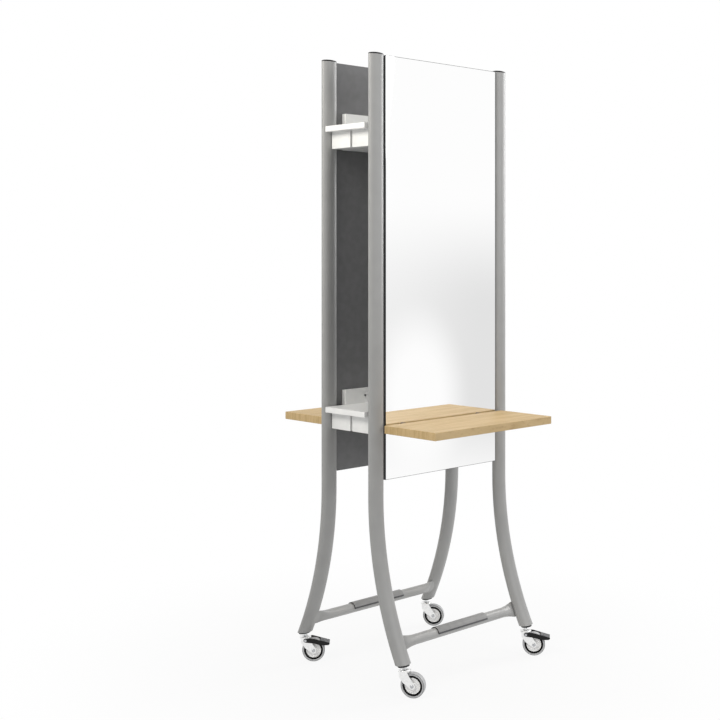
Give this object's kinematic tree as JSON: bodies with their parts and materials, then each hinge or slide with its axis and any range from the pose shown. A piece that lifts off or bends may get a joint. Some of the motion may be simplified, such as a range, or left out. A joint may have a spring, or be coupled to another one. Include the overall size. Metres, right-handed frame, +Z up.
{
  "type": "double sided salon station",
  "caption": "Free-standing double-sided styling station: full-height mirrors between curved oval posts, oak shelves, tube footrests, and swivel castors with brake pedals",
  "frame": {"origin": "on the floor, below the middle of the overall box; the mid-plane between the left and right posts is at X = -14.7 mm, because the front right brake pedal sticks out to the right", "axes": "+X along the mirrors to the right of someone who faces the front mirror, +Y from the front side to the rear side, +Z up"},
  "size_m": [0.6854, 0.696, 1.979],
  "materials": {
    "steel_tube": "warm grey powder coat, satin",
    "cap": "near-black moulded plastic",
    "plug": "dark moulded plastic",
    "footrest_rubber": "dark grey rubber",
    "mirror": "silvered float glass, polished edge",
    "backing": "grey-lacquered hardboard",
    "white_board": "white melamine board",
    "white_steel": "white powder coat",
    "white_plastic": "white moulded plate",
    "oak": "light oak, matt lacquer",
    "rod_steel": "bright steel bar",
    "sleeve": "dark plastic sleeve",
    "spacer": "dark plastic spacer",
    "fasteners": "zinc-plated steel",
    "castor_stem": "dark grey finish",
    "zinc": "bright zinc-plated pressed steel",
    "rivet_steel": "zinc-plated steel",
    "wheel_hub": "off-white moulded plastic",
    "tyre": "grey non-marking rubber",
    "pedal": "black moulded plastic"
  },
  "bodies": {
    "frame": {"post_rear_left": "steel_tube", "post_cap_rear_left": "cap", "leg_plug_rear_left": "plug", "post_front_left": "steel_tube", "post_cap_front_left": "cap", "leg_plug_front_left": "plug", "post_front_right": "steel_tube", "post_cap_front_right": "cap", "leg_plug_front_right": "plug", "post_rear_right": "steel_tube", "post_cap_rear_right": "cap", "leg_plug_rear_right": "plug", "footrest_bar_front": "steel_tube", "footrest_pad_front": "footrest_rubber", "footrest_bar_rear": "steel_tube", "footrest_pad_rear": "footrest_rubber", "beam_upper_front": "white_steel", "mirror_rail_upper_front": "white_board", "beam_upper_rear": "white_steel", "mirror_rail_upper_rear": "white_board", "deck_upper": "white_board", "beam_lower_front": "white_steel", "mirror_rail_lower_front": "white_board", "beam_lower_rear": "white_steel", "mirror_rail_lower_rear": "white_board", "deck_lower": "white_board", "beam_end_caps": "white_plastic", "deck_screws": "fasteners", "frame_bolts": "fasteners", "rail_screws": "fasteners", "frame_spacers": "spacer", "mirror_backing_front": "backing", "mirror_glass_front": "mirror", "shelf_front": "oak", "mirror_backing_rear": "backing", "mirror_glass_rear": "mirror", "shelf_rear": "oak", "shelf_rods": "rod_steel", "shelf_sleeves": "sleeve", "castor_stems": "castor_stem"},
    "fork_rear_left": {"castor_fork_rear_left": "zinc", "castor_axle_rear_left": "rivet_steel", "pedal_pin_rear_left": "rivet_steel"},
    "wheel_rear_left": {"wheel_rim_rear_left": "wheel_hub", "wheel_tyre_rear_left": "tyre"},
    "pedal_rear_left": {"brake_pedal_rear_left": "pedal"},
    "fork_front_left": {"castor_fork_front_left": "zinc", "castor_axle_front_left": "rivet_steel"},
    "wheel_front_left": {"wheel_rim_front_left": "wheel_hub", "wheel_tyre_front_left": "tyre"},
    "fork_front_right": {"castor_fork_front_right": "zinc", "castor_axle_front_right": "rivet_steel", "pedal_pin_front_right": "rivet_steel"},
    "wheel_front_right": {"wheel_rim_front_right": "wheel_hub", "wheel_tyre_front_right": "tyre"},
    "pedal_front_right": {"brake_pedal_front_right": "pedal"},
    "fork_rear_right": {"castor_fork_rear_right": "zinc", "castor_axle_rear_right": "rivet_steel"},
    "wheel_rear_right": {"wheel_rim_rear_right": "wheel_hub", "wheel_tyre_rear_right": "tyre"}
  },
  "joints": [
    {"name": "swivel_rear_left", "type": "hinge", "parent": "frame", "child": "fork_rear_left", "pos_m": [-0.30524, 0.23081, 0.08], "axis": [0, 0, 1], "continuous": true},
    {"name": "roll_rear_left", "type": "hinge", "parent": "fork_rear_left", "child": "wheel_rear_left", "pos_m": [-0.28566, 0.21223, 0.0375], "axis": [0.6884, 0.7254, 0], "continuous": true},
    {"name": "brake_rear_left", "type": "hinge", "parent": "fork_rear_left", "child": "pedal_rear_left", "pos_m": [-0.30524, 0.23081, 0.071], "axis": [-0.6884, -0.7254, 0], "range_deg": [0, 15]},
    {"name": "swivel_front_left", "type": "hinge", "parent": "frame", "child": "fork_front_left", "pos_m": [-0.30524, -0.23081, 0.08], "axis": [0, 0, 1], "continuous": true},
    {"name": "roll_front_left", "type": "hinge", "parent": "fork_front_left", "child": "wheel_front_left", "pos_m": [-0.29257, -0.25466, 0.0375], "axis": [0.8829, 0.4695, 0], "continuous": true},
    {"name": "swivel_front_right", "type": "hinge", "parent": "frame", "child": "fork_front_right", "pos_m": [0.27576, -0.23081, 0.08], "axis": [0, 0, 1], "continuous": true},
    {"name": "roll_front_right", "type": "hinge", "parent": "fork_front_right", "child": "wheel_front_right", "pos_m": [0.29275, -0.2518, 0.0375], "axis": [0.7771, 0.6293, 0], "continuous": true},
    {"name": "brake_front_right", "type": "hinge", "parent": "fork_front_right", "child": "pedal_front_right", "pos_m": [0.27576, -0.23081, 0.071], "axis": [-0.7771, -0.6293, 0], "range_deg": [0, 15]},
    {"name": "swivel_rear_right", "type": "hinge", "parent": "frame", "child": "fork_rear_right", "pos_m": [0.27576, 0.23081, 0.08], "axis": [0, 0, 1], "continuous": true},
    {"name": "roll_rear_right", "type": "hinge", "parent": "fork_rear_right", "child": "wheel_rear_right", "pos_m": [0.29163, 0.20897, 0.0375], "axis": [0.809, 0.5878, 0], "continuous": true}
  ]
}
